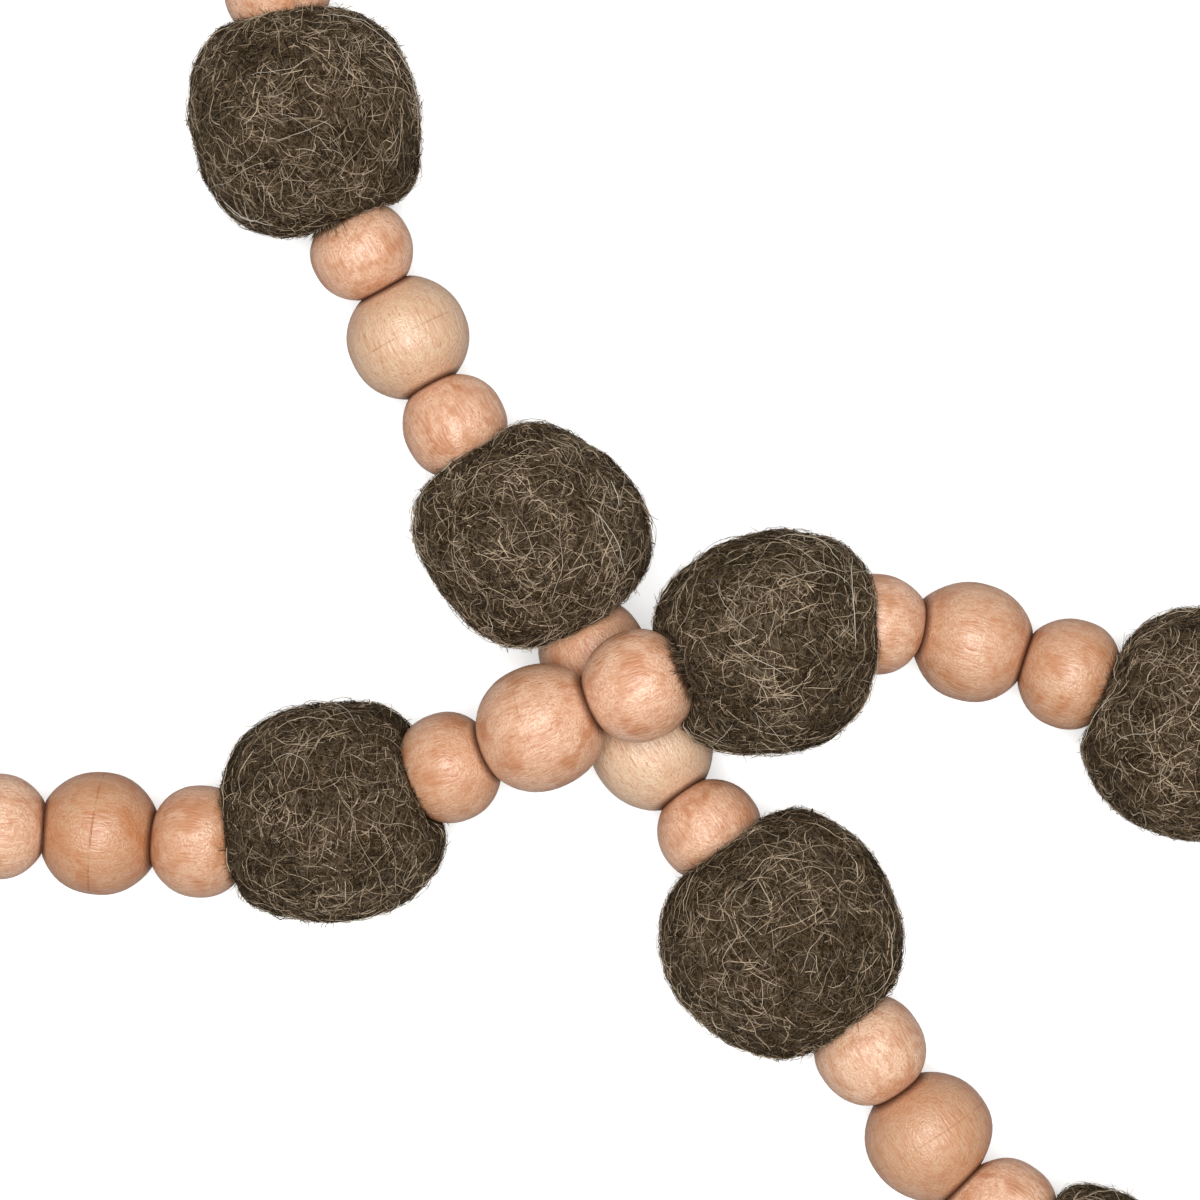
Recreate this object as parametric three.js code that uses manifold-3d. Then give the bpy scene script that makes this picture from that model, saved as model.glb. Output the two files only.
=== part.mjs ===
// Felt ball garland: wool felt balls and wooden beads on one knotted string, lying on a table.
// Millimetres, +Z up. The origin is on the table, under the middle of the whole garland.

import * as THREE from 'three';
import { mergeVertices } from 'three/addons/utils/BufferGeometryUtils.js';
import Module from 'manifold-3d';

const wasm = await Module();
wasm.setup();

// Stringing order, repeated along the garland
const PATTERN = ['ball', 'small', 'large', 'small'];

// Clearance between pieces that touch in life
const GAP = 0.3;

// Wooden beads
const BEAD_SIDES = 12;
const BEAD_STEPS = 6;
const BEAD_FULLNESS = 2.3;
const BEAD_LAND_RADIUS = 3.4;
const BEAD_BORE_RADIUS = 1.3;
const BEAD_END_GAP = 0.17;
const SMALL_WIDTH = 14;
const LARGE_WIDTH = 16;

// Felt balls
const BALL_DETAIL = 3;
const BALL_WIDTH = 30;
const BALL_PRESS = 0.5;
const NEEDLE_HOLE_RADIUS = 1.05;
const LUMP_SPREAD = THREE.MathUtils.degToRad(25);
const RIPPLE_HEIGHT = 0.16;
const RIPPLE_PITCH = 4.2;
const RIPPLE_PHASES = { x: 1.7, y: 2.3, z: 0.9 };

// String and its end knots
const STRING_RADIUS = 0.65;
const STRING_SIDES = 8;
const KNOT_RADIUS = 2.5;
const KNOT_LENGTH = 5;
const KNOT_TAIL = 4.5;

// Half a knot's outline, from its end to its waist, as shares of its radius and of half its length
const KNOT_OUTLINE = [
  { radius: 0, along: 1 },
  { radius: 0.55, along: 1 },
  { radius: 0.95, along: 0.6 },
  { radius: 1, along: 0.3 },
];
const KNOT_WAIST = 0.84;

// Slab that stands for the table and presses the balls flat where they rest
const TABLE_WIDTH = 600;
const TABLE_DEPTH = 20;

// Upper strand, left to right: the joint where each piece starts, and the width of that piece
const UPPER_STRAND = [
  { x: -121.6, y: -26.4, z: 13.8, width: 30.0 },
  { x: -83.6, y: -28.9, z: 13.4, width: 13.8 },
  { x: -72.1, y: -29.4, z: 11.0, width: 16.0 },
  { x: -57.7, y: -30.8, z: 10.8, width: 14.6 },
  { x: -45.9, y: -31.3, z: 13.2, width: 29.2 },
  { x: -24.5, y: -23.4, z: 14.4, width: 14.4 },
  { x: -14.3, y: -19.3, z: 17.9, width: 16.2 },
  { x: -1.0, y: -13.0, z: 21.5, width: 14.4 },
  { x: 10.6, y: -8.6, z: 23.7, width: 29.4 },
  { x: 30.6, y: -2.8, z: 14.6, width: 13.2 },
  { x: 41.2, y: -3.3, z: 10.4, width: 15.6 },
  { x: 55.1, y: -7.3, z: 9.9, width: 14.4 },
  { x: 66.1, y: -11.4, z: 12.8, width: 30.0 },
  { x: 86.2, y: -20.4, z: 13.4 },
];

// Turn that brings the strand back, from the end of the upper strand to the start of the lower one
const TURN_ROUTE = [
  { x: 86.2, y: -20.4 },
  { x: 105.0, y: -27.5 },
  { x: 122.0, y: -38.0 },
  { x: 133.0, y: -55.0 },
  { x: 133.0, y: -76.0 },
  { x: 121.5, y: -95.0 },
  { x: 102.5, y: -106.0 },
  { x: 87.0, y: -106.0 },
  { x: 74.0, y: -97.8 },
];
const TURN_PIECES = ['small', 'large', 'small', 'ball', 'small', 'large', 'small', 'ball', 'small', 'large', 'small'];
const TURN_LENGTHS = { ball: 23, small: 11.8, large: 14.4 };
const TURN_BALL_HEIGHT = 13.4;
const TURN_BEAD_HEIGHT = 11.2;

// Lower strand, from the turn to the free end, in the same columns
const LOWER_STRAND = [
  { x: 74.0, y: -97.8, z: 13.4, width: 30.0 },
  { x: 57.0, y: -82.3, z: 13.2, width: 14.0 },
  { x: 46.9, y: -75.3, z: 10.9, width: 16.8 },
  { x: 38.4, y: -63.2, z: 10.8, width: 14.4 },
  { x: 31.4, y: -53.0, z: 13.4, width: 31.6 },
  { x: 17.2, y: -33.7, z: 12.2, width: 13.7 },
  { x: 10.8, y: -25.2, z: 8.6, width: 15.8 },
  { x: 2.4, y: -12.7, z: 8.2, width: 14.0 },
  { x: -4.0, y: -1.2, z: 10.6, width: 29.8 },
  { x: -15.9, y: 17.8, z: 13.4, width: 13.6 },
  { x: -21.8, y: 27.7, z: 11.2, width: 16.0 },
  { x: -28.0, y: 40.5, z: 11.2, width: 13.5 },
  { x: -33.5, y: 49.6, z: 13.6, width: 30.0 },
  { x: -40.6, y: 73.5, z: 13.6, width: 14.0 },
  { x: -43.0, y: 84.8, z: 11.2, width: 16.0 },
  { x: -45.8, y: 99.0, z: 11.2, width: 14.0 },
  { x: -48.3, y: 110.3, z: 13.4, width: 30.0 },
  { x: -56.1, y: 147.9, z: 13.8 },
];

// Felt balls along the string: middle in plan, lift off the table, and lumps as bearing in degrees and rise
const BALLS = [
  { x: -95.5, y: -28.2, lift: 0, lumps: [[40, 0.8], [120, -0.7], [235, 1.0], [310, -0.6]] },
  { x: -34.6, y: -27.1, lift: 0, lumps: [[58, 1.2], [95, -1.1], [160, 0.6], [222, 1.2], [265, -0.4], [330, 1.0]] },
  { x: 21.3, y: -5.1, lift: 3.6, lumps: [[36, 1.8], [122, -1.0], [232, 1.2], [315, 0.6]] },
  { x: 76.0, y: -16.0, lift: 0, lumps: [[80, 0.5], [118, -0.6], [200, -0.5], [285, 0.5]] },
  { x: null, y: null, lift: 0, lumps: [[15, 1.0], [100, -0.8], [200, 0.9], [290, -0.5]] },
  { x: null, y: null, lift: 0, lumps: [[70, 0.9], [150, -0.6], [250, 1.1], [340, -0.8]] },
  { x: 63.4, y: -90.6, lift: 0, lumps: [[98, 1.2], [60, -1.0], [210, 0.8], [300, 0.5]] },
  { x: 22.9, y: -42.9, lift: 0, lumps: [[70, 0.8], [150, -0.9], [235, -0.5], [333, 1.4]] },
  { x: -8.9, y: 8.6, lift: 0, lumps: [[58, -1.0], [158, 1.2], [218, -1.2], [352, 0.8]] },
  { x: -38.2, y: 61.7, lift: 0, lumps: [[55, 1.0], [143, 1.5], [195, -0.5], [248, 0.6], [322, 1.5]] },
  { x: -50.8, y: 122.2, lift: 0, lumps: [[30, 0.7], [110, 1.0], [200, -0.7], [315, 0.8]] },
];

const MATERIALS = {
  ball: { name: 'wool_felt', color: 0x4a3f31, roughness: 1.0 },
  small: { name: 'small_bead_wood', color: 0xdcaa82, roughness: 0.45 },
  large: { name: 'large_bead_wood', color: 0xd8ab86, roughness: 0.45 },
  string: { name: 'cotton_string', color: 0x6e563e, roughness: 0.95 },
};

// Geometry helpers

function weld(geometry) {
  const bare = geometry.index ? geometry.toNonIndexed() : geometry.clone();
  bare.deleteAttribute('normal');
  bare.deleteAttribute('uv');
  return mergeVertices(bare, 1e-4);
}

function solidOf(geometry) {
  const welded = weld(geometry);
  return new wasm.Manifold(new wasm.Mesh({
    numProp: 3,
    vertProperties: new Float32Array(welded.getAttribute('position').array),
    triVerts: new Uint32Array(welded.index.array),
  }));
}

function geometryOf(solid) {
  const mesh = solid.getMesh();
  const geometry = new THREE.BufferGeometry();
  geometry.setAttribute('position', new THREE.BufferAttribute(new Float32Array(mesh.vertProperties), 3));
  geometry.setIndex(new THREE.BufferAttribute(new Uint32Array(mesh.triVerts), 1));
  return geometry;
}

// Turn from the Y axis, round which beads, pins and knots are shaped, to a direction along the string
function turnTo(direction) {
  return new THREE.Quaternion().setFromUnitVectors(new THREE.Vector3(0, 1, 0), direction);
}

function layAlong(geometry, middle, direction) {
  geometry.applyQuaternion(turnTo(direction));
  geometry.translate(middle.x, middle.y, middle.z);
  return geometry;
}

// The string's joints and the pieces between them

function turnJoints() {
  const route = new THREE.CatmullRomCurve3(TURN_ROUTE.map((row) => new THREE.Vector3(row.x, row.y, 0)));
  const whole = TURN_PIECES.reduce((sum, kind) => sum + TURN_LENGTHS[kind], 0);
  const joints = [];
  let travelled = 0;
  for (let i = 0; i < TURN_PIECES.length - 1; i += 1) {
    travelled += TURN_LENGTHS[TURN_PIECES[i]];
    const joint = route.getPointAt(travelled / whole);
    const besideBall = TURN_PIECES[i] === 'ball' || TURN_PIECES[i + 1] === 'ball';
    joint.z = besideBall ? TURN_BALL_HEIGHT : TURN_BEAD_HEIGHT;
    joints.push(joint);
  }
  return joints;
}

function layOutPieces() {
  const fromRow = (row) => new THREE.Vector3(row.x, row.y, row.z);
  const joints = [...UPPER_STRAND.map(fromRow), ...turnJoints(), ...LOWER_STRAND.map(fromRow)];
  const usual = { ball: BALL_WIDTH, small: SMALL_WIDTH, large: LARGE_WIDTH };
  const turnWidths = TURN_PIECES.map((kind) => usual[kind]);
  const upperWidths = UPPER_STRAND.slice(0, -1).map((row) => row.width);
  const lowerWidths = LOWER_STRAND.slice(0, -1).map((row) => row.width);
  const widths = [...upperWidths, ...turnWidths, ...lowerWidths];
  const counts = { ball: 0, small: 0, large: 0 };
  return widths.map((width, i) => {
    const kind = PATTERN[i % PATTERN.length];
    counts[kind] += 1;
    const start = joints[i];
    const end = joints[i + 1];
    const axis = end.clone().sub(start).normalize();
    return { kind, number: counts[kind], width, start, end, axis };
  });
}

// Trim at a bead's end, so that the edges of two tilted beads stay apart
function endTrim(bead, neighbour) {
  const bend = bead.axis.angleTo(neighbour.axis);
  return BEAD_END_GAP + (neighbour.kind === 'ball' ? 0 : BEAD_LAND_RADIUS * Math.tan(bend / 2));
}

// Wooden beads

function beadOutline(halfLength, radius, landRadius) {
  const share = (landRadius / radius) ** BEAD_FULLNESS;
  const points = [];
  for (let i = 0; i <= BEAD_STEPS; i += 1) {
    const along = -Math.cos((Math.PI * i) / BEAD_STEPS);
    const across = (1 - Math.abs(along) ** BEAD_FULLNESS * (1 - share)) ** (1 / BEAD_FULLNESS);
    points.push(new THREE.Vector2(radius * across, halfLength * along));
  }
  return points;
}

function beadSize(pieces, i) {
  const bead = pieces[i];
  const startTrim = endTrim(bead, pieces[i - 1]);
  const endTrimmed = endTrim(bead, pieces[i + 1]);
  const from = bead.start.clone().addScaledVector(bead.axis, startTrim);
  const to = bead.end.clone().addScaledVector(bead.axis, -endTrimmed);
  const middle = from.clone().add(to).multiplyScalar(0.5);
  return { middle, halfLength: from.distanceTo(to) / 2, radius: bead.width / 2 };
}

function drilledBead(bead) {
  const { halfLength, radius } = bead.size;
  const outline = beadOutline(halfLength, radius, BEAD_LAND_RADIUS);
  const profile = [
    new THREE.Vector2(BEAD_BORE_RADIUS, -halfLength),
    ...outline,
    new THREE.Vector2(BEAD_BORE_RADIUS, halfLength),
    new THREE.Vector2(BEAD_BORE_RADIUS, -halfLength),
  ];
  return weld(new THREE.LatheGeometry(profile, BEAD_SIDES));
}

// A bead without its bore, grown by the clearance, to press its seat into the felt
function beadPress(bead) {
  const { middle, halfLength, radius } = bead.size;
  const grown = halfLength + GAP;
  const outline = beadOutline(grown, radius + GAP, BEAD_LAND_RADIUS + GAP);
  const profile = [new THREE.Vector2(0, -grown), ...outline, new THREE.Vector2(0, grown)];
  return solidOf(layAlong(new THREE.LatheGeometry(profile, BEAD_SIDES), middle, bead.axis));
}

// Felt balls

function lumpRise(direction, lumps) {
  let rise = 0;
  for (const [bearing, height] of lumps) {
    const turn = THREE.MathUtils.degToRad(bearing);
    const away = direction.angleTo(new THREE.Vector3(Math.cos(turn), Math.sin(turn), 0));
    rise += height * Math.exp(-((away / LUMP_SPREAD) ** 2));
  }
  return rise;
}

function rippleRise(direction, number) {
  let waves = 0;
  for (const side of ['x', 'y', 'z']) {
    waves += Math.sin(RIPPLE_PITCH * direction[side] + RIPPLE_PHASES[side] * number);
  }
  return RIPPLE_HEIGHT * waves;
}

function ballReach(direction, ball, row) {
  return ball.width / 2 + lumpRise(direction, row.lumps) + rippleRise(direction, ball.number);
}

function ballMiddle(ball, row) {
  const middle = ball.start.clone().add(ball.end).multiplyScalar(0.5);
  if (row.x !== null) {
    middle.set(row.x, row.y, 0);
  }
  const underside = ballReach(new THREE.Vector3(0, 0, -1), ball, row);
  middle.z = underside - BALL_PRESS + row.lift;
  return middle;
}

function lumpyBall(ball, row) {
  const geometry = weld(new THREE.IcosahedronGeometry(1, BALL_DETAIL));
  const middle = ballMiddle(ball, row);
  const place = geometry.getAttribute('position');
  const direction = new THREE.Vector3();
  for (let i = 0; i < place.count; i += 1) {
    direction.fromBufferAttribute(place, i).normalize();
    const point = middle.clone().addScaledVector(direction, ballReach(direction, ball, row));
    place.setXYZ(i, point.x, point.y, point.z);
  }
  return solidOf(geometry);
}

function needleHole(ball) {
  const length = ball.start.distanceTo(ball.end) + BALL_WIDTH;
  const middle = ball.start.clone().add(ball.end).multiplyScalar(0.5);
  const pin = new THREE.CylinderGeometry(NEEDLE_HOLE_RADIUS, NEEDLE_HOLE_RADIUS, length, STRING_SIDES);
  return solidOf(layAlong(pin, middle, ball.axis));
}

function tableSolid() {
  const slab = new THREE.BoxGeometry(TABLE_WIDTH, TABLE_WIDTH, TABLE_DEPTH);
  slab.translate(0, 0, -TABLE_DEPTH / 2);
  return solidOf(slab);
}

function feltBall(ball, row, beads) {
  const middle = ballMiddle(ball, row);
  let solid = lumpyBall(ball, row);
  for (const bead of beads) {
    if (bead.size.middle.distanceTo(middle) < ball.width) {
      solid = solid.subtract(beadPress(bead));
    }
  }
  solid = solid.subtract(needleHole(ball)).subtract(tableSolid());
  return geometryOf(solid);
}

// String

class StringRoute extends THREE.Curve {
  constructor(stations) {
    super();
    this.stations = stations;
  }

  getPoint(t, target = new THREE.Vector3()) {
    const last = this.stations.length - 1;
    const index = Math.min(Math.floor(t * last + 1e-6), last - 1);
    return target.lerpVectors(this.stations[index], this.stations[index + 1], t * last - index);
  }

  getPointAt(u, target) {
    return this.getPoint(u, target);
  }

  getTangentAt(u, target = new THREE.Vector3()) {
    const last = this.stations.length - 1;
    const index = Math.round(u * last);
    const before = this.stations[Math.max(index - 1, 0)];
    const after = this.stations[Math.min(index + 1, last)];
    return target.subVectors(after, before).normalize();
  }
}

function stringTube(stations) {
  const section = new THREE.Shape();
  for (let i = 0; i < STRING_SIDES; i += 1) {
    const turn = (2 * Math.PI * i) / STRING_SIDES;
    const corner = [STRING_RADIUS * Math.cos(turn), STRING_RADIUS * Math.sin(turn)];
    if (i === 0) {
      section.moveTo(...corner);
    } else {
      section.lineTo(...corner);
    }
  }
  const route = new StringRoute(stations);
  return new THREE.ExtrudeGeometry(section, {
    steps: stations.length - 1,
    extrudePath: route,
    bevelEnabled: false,
  });
}

// A plain knot as two rounded turns of the string
function endKnot(tip, inward) {
  const half = KNOT_LENGTH / 2;
  const lower = KNOT_OUTLINE.map((row) => new THREE.Vector2(row.radius * KNOT_RADIUS, -row.along * half));
  const waist = new THREE.Vector2(KNOT_WAIST * KNOT_RADIUS, 0);
  const upper = lower.map((point) => new THREE.Vector2(point.x, -point.y)).reverse();
  const profile = [...lower, waist, ...upper];
  const middle = tip.clone().addScaledVector(inward, KNOT_TAIL + half);
  return solidOf(layAlong(new THREE.LatheGeometry(profile, 2 * STRING_SIDES), middle, inward));
}

function knottedString(pieces) {
  const first = pieces[0];
  const last = pieces[pieces.length - 1];
  const stations = [...pieces.map((piece) => piece.start), last.end];
  const tube = solidOf(stringTube(stations));
  const startKnot = endKnot(first.start, first.axis);
  const finishKnot = endKnot(last.end, last.axis.clone().negate());
  return geometryOf(tube.add(startKnot).add(finishKnot));
}

// Assembly

function node(name, kind, geometry) {
  geometry.computeVertexNormals();
  const mesh = new THREE.Mesh(geometry, new THREE.MeshStandardMaterial(MATERIALS[kind]));
  mesh.name = name;
  return mesh;
}

function numbered(prefix, number) {
  return `${prefix}_${String(number).padStart(2, '0')}`;
}

function ballNode(ball, beads) {
  const row = BALLS[ball.number - 1];
  const middle = ballMiddle(ball, row);
  const geometry = feltBall(ball, row, beads).translate(-middle.x, -middle.y, -middle.z);
  const mesh = node(numbered('felt_ball', ball.number), 'ball', geometry);
  mesh.position.copy(middle);
  return mesh;
}

function beadNode(bead) {
  const mesh = node(numbered(`${bead.kind}_bead`, bead.number), bead.kind, drilledBead(bead));
  mesh.position.copy(bead.size.middle);
  mesh.quaternion.copy(turnTo(bead.axis));
  return mesh;
}

function buildStrand() {
  const strand = new THREE.Group();
  const pieces = layOutPieces();
  pieces.forEach((piece, i) => {
    if (piece.kind !== 'ball') {
      piece.size = beadSize(pieces, i);
    }
  });
  const beads = pieces.filter((piece) => piece.kind !== 'ball');
  for (const piece of pieces) {
    strand.add(piece.kind === 'ball' ? ballNode(piece, beads) : beadNode(piece));
  }
  strand.add(node('string', 'string', knottedString(pieces)));
  return strand;
}

// The strand is moved so that the origin is on the table under the middle of the garland
function buildGarland() {
  const garland = new THREE.Group();
  garland.name = 'felt_ball_garland';
  const strand = buildStrand();
  const middle = new THREE.Box3().setFromObject(strand, true).getCenter(new THREE.Vector3());
  strand.position.set(-middle.x, -middle.y, 0);
  garland.add(strand);
  return garland;
}

const garland = buildGarland();

export default garland;
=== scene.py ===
"""The looks of a garland of felt balls and turned wooden beads that lies on a pale floor."""

import functools
import math
from collections import namedtuple

import bpy
import numpy as np
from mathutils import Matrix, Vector, noise
from mathutils.bvhtree import BVHTree
from mathutils.kdtree import KDTree


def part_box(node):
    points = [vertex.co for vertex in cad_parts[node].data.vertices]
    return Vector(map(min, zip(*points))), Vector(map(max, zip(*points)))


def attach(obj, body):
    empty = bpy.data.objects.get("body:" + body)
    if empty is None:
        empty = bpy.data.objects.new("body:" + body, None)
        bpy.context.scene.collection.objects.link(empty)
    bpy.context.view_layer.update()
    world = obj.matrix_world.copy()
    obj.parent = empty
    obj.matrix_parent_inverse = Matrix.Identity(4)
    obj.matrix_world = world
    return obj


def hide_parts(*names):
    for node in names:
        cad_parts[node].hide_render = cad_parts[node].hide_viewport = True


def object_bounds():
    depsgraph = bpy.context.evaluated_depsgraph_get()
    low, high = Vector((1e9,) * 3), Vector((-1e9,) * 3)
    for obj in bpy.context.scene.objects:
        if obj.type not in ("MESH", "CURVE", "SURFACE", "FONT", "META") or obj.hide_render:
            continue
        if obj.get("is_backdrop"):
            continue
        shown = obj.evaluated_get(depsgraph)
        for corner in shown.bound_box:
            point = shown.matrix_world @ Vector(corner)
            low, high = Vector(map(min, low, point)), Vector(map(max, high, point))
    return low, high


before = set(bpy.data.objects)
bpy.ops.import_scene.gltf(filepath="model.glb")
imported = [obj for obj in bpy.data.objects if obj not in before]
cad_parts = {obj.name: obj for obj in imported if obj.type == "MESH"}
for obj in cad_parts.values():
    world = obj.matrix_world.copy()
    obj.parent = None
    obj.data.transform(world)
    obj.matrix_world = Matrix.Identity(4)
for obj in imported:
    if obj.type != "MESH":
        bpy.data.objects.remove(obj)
CAD_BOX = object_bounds()

bl_info = {
    "name": "Felt ball garland",
    "version": (1, 0, 0),
    "blender": (4, 5, 0),
    "location": "3D View > Sidebar > Garland",
    "description": "Builds the felt balls, wooden beads, string and stage of a garland",
    "category": "Object",
}

MM = 0.001
BODY = "root"
STRING_NODE = "string"

# One repeat of the strand is a ball, a small bead, a large bead and a small bead
BALL_NODES = sorted(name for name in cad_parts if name.startswith("felt_ball"))
LARGE_NODES = sorted(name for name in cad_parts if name.startswith("large_bead"))
SMALL_NODES = sorted(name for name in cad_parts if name.startswith("small_bead"))

# Felt ball
CORE_DETAIL = 5
CAST_FROM = 30 * MM
NEEDLE_HOLE_SHARE = 0.6
SMOOTH_ROUNDS = 7
FIBRE_DEPTH = 0.2 * MM
FELT_CLEARANCE = 0.12 * MM
FLOOR_CLEARANCE = 0.08 * MM
MATTING = (
    # size of the lumps, how far they rise
    (5.0 * MM, 0.30 * MM),
    (1.9 * MM, 0.22 * MM),
)
MATTING_SHIFT = 10
PRESS_ROUNDS = 40
PRESS_STEP = 0.1 * MM
PRESS_GAP = 1 * MM
WOOL_PATCHES = (
    # patches of tone to a ball's radius, how strong they are
    (1.6, 0.4),
    (4.0, 0.5),
)
PATCH_SHIFT = 9
BALL_TONES = {
    "felt_ball_02": -0.07,
    "felt_ball_09": 0.04,
    "felt_ball_10": 0.03,
}
# How much further beads push the felt back, or how much further it comes up round them
DENT_WIDTH = 7 * MM
DENT_EDGE = 6
DENT_RISE = 0.6
DENT_MARGIN = 1 * MM
BEAD_DENTS = {
    "small_bead_02": -0.8 * MM,
    "small_bead_03": -0.4 * MM,
    "small_bead_06": 1.6 * MM,
    "small_bead_14": 0.7 * MM,
    "small_bead_15": 1.9 * MM,
    "small_bead_17": 0.7 * MM,
    "small_bead_18": 0.4 * MM,
    "small_bead_19": -0.5 * MM,
}
FIBRE_SIDES = 3
LOCK_SPREAD = 0.06
LOCK_TURN = 0.35
TAPER_START = 0.12
TAPER_END = 0.92
TAPER_POWER = 0.5
# Lengths and radii are shares of the usual ones. Rise and tones are a random spread and its two values.
FibreKind = namedtuple(
    "FibreKind",
    "steps lift rise tones radii lean lengths curl waver lock most_rise most_tone arched patches",
    defaults=((1, 1), 0, 0, 1, math.inf, 1, True, ()),
)
Random = np.random.Generator
MATTED = FibreKind(
    steps=4, lengths=(0.4, 1.7), radii=(0.6, 1.4), curl=0.3, waver=0.1, lean=0.5, lift=-0.05 * MM,
    rise=(Random.gamma, 1.5, 0.11 * MM), most_rise=0.5 * MM, tones=(Random.beta, 1.4, 2.3),
    lock=5, patches=WOOL_PATCHES,
)
LOOSE = FibreKind(
    steps=8, lengths=(0.4, 1.6), radii=(0.4, 0.85), curl=0.1, waver=0.3, lean=1.0, lift=0.02 * MM,
    rise=(Random.gamma, 2.0, 0.12 * MM), most_rise=0.6 * MM, tones=(Random.uniform, 0.2, 1.0),
)
FUZZ = FibreKind(
    steps=3, lengths=(0.5, 1.8), radii=(0.6, 1.1), curl=0.5, waver=0.2, lean=0.7, lift=-0.08 * MM,
    rise=(Random.gamma, 2.2, 0.2 * MM), arched=False, tones=(Random.normal, 0.5, 0.22),
)
HAIR = FibreKind(
    steps=14, lengths=(0.4, 2.0), radii=(0.6, 1.1), curl=0.08, waver=0.17, lean=0.0, lift=0.05 * MM,
    rise=(Random.uniform, 0.25 * MM, 0.9 * MM), tones=(Random.uniform, 1.05, 2.0), most_tone=2.0,
)
# Fibres over the edges of beads
COLLAR = FibreKind(
    steps=3, radii=(0.4, 0.8), lean=0.3, lift=0.03 * MM,
    rise=(Random.gamma, 1.5, 0.06 * MM), tones=(Random.uniform, 0.1, 0.7),
)
COLLAR_ROOT = 0.7 * MM
COLLAR_SLANT = 0.14
COLLAR_EVENNESS = 2.0
EDGE_PLACES = 24
EDGE_GAP = 0.25 * MM

# Wooden bead
BEAD_FULLNESS = 2.3
BEAD_END_SHARE = 0.99
BEAD_SIDES = 48
BEAD_STEPS = 22
LAND_ROUND = 0.1 * MM
JOINT_GAP = 0.01 * MM
END_EASE = 4
HOLE_LIP = 0.35 * MM
LIP_STEPS = 3
BEAD_WOBBLE = 0.12 * MM
WOBBLE_SIZE = 6 * MM
WOBBLE_MIDDLE = 0.4
HOLE_SHARE = 1.5
GRAIN_SHIFT = 50
SEAM_TILT = 0.05
USUAL_DARKNESS = (0, 0.2)
USUAL_PALENESS = (0, 0.3)
# Beads whose turning line shows, beads of paler wood and beads of darker wood
BEAD_SEAMS = {
    "large_bead_01": 0.6,
    "large_bead_02": 0.3,
    "large_bead_05": 0.7,
    "large_bead_07": 0.35,
    "large_bead_09": 0.4,
    "small_bead_09": 0.6,
    "small_bead_12": 0.8,
}
BEAD_PALENESS = {
    "large_bead_04": 1.0,
    "large_bead_07": 0.6,
    "large_bead_08": 1.0,
    "large_bead_09": 1.0,
}
BEAD_DARKNESS = {
    "large_bead_01": 1.0,
    "large_bead_03": 0.45,
    "large_bead_07": 0.85,
    "large_bead_09": 0.4,
    "small_bead_02": 0.55,
    "small_bead_03": 0.6,
    "small_bead_06": 0.7,
    "small_bead_11": 0.9,
    "small_bead_16": 0.7,
}

# String
CORD_RADIUS = 0.62 * MM
CORD_SIDES = 10
CORD_STEP = 0.4 * MM
CURVE_STEPS = 16
PLY_DEPTH = 0.16
KNOT_POINTS = 34
KNOT_REACH = 2.12
KNOT_ACROSS = 0.55 * MM
KNOT_DEPTH = 0.1 * MM
KNOT_ACROSS_EASE = 8
KNOT_DEPTH_EASE = 16
KNOT_FROM_BALL = 2.3 * MM
TAIL_BEND = 0.8 * MM
TAIL_DROOP = 4 * MM
BEND_DROOP = 0.25
TIP_LENGTH = 0.3 * MM

# Camera, straight above the crossing
VIEW_CENTRE = (-10.13 * MM, -17.1 * MM)
VIEW_LEVEL = 13 * MM
SENSOR_WIDTH = 36
# How much the floor lights its own shadows
FLOOR_GLOW = 0.45


def linear(red, green, blue):
    """A scene colour from the 0 to 255 values that a screen shows."""
    shares = [value / 255 for value in (red, green, blue)]
    return tuple(s / 12.92 if s <= 0.04045 else ((s + 0.055) / 1.055) ** 2.4 for s in shares)


def colour_property(name, description, screen):
    """A colour that a user can change, with its default given as screen values."""
    options = {"default": linear(*screen), "subtype": "COLOR", "min": 0, "max": 1}
    return bpy.props.FloatVectorProperty(name=name, description=description, **options)


def length_property(name, description, default):
    """A length that a user can change, in metres."""
    return amount_property(name, description, default, unit="LENGTH", precision=5)


def amount_property(name, description, default, **options):
    """An amount that a user can change."""
    return bpy.props.FloatProperty(name=name, description=description, default=default, min=0, **options)


def count_property(name, description, default, least=0):
    """A number of things that a user can change."""
    return bpy.props.IntProperty(name=name, description=description, default=default, min=least)


class GarlandFelt(bpy.types.PropertyGroup):
    """The felt balls' fibres and colours"""

    matted_fibres: count_property("Matted fibres", "Fibres that lie on each ball", 5600)
    loose_fibres: count_property("Loose fibres", "Long fine fibres that wave over each ball", 1300)
    fuzz_fibres: count_property("Fuzz fibres", "Short fibres that stand off each ball", 1200)
    collar_fibres: count_property("Collar fibres", "Short fibres over the edge of each pressing bead", 320)
    hairs: count_property("Pale hairs", "Long pale hairs on each ball", 24)
    fibre_length: length_property("Fibre length", "Usual length of a matted fibre", 3.4 * MM)
    loose_length: length_property("Loose length", "Usual length of a loose fibre", 6 * MM)
    collar_length: length_property("Collar length", "Usual reach of a fibre over a bead", 0.4 * MM)
    fuzz_length: length_property("Fuzz length", "Usual length of a standing fibre", 1.4 * MM)
    hair_length: length_property("Hair length", "Usual length of a pale hair", 8 * MM)
    fibre_radius: length_property("Fibre radius", "Half the thickness of a fibre", 0.05 * MM)
    # The dark wool colour is partly the real colour of the darkest fibres and partly painted shade: the felt
    # core between the fibres is mostly in it.
    dark: colour_property("Dark wool", "Colour between the fibres", (32, 23, 11))
    middle: colour_property("Brown wool", "Colour of most fibres", (86, 68, 45))
    light: colour_property("Light wool", "Colour of the lightest brown fibres", (193, 172, 146))
    pale: colour_property("Pale hair", "Colour of the long hairs", (226, 216, 198))


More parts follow.
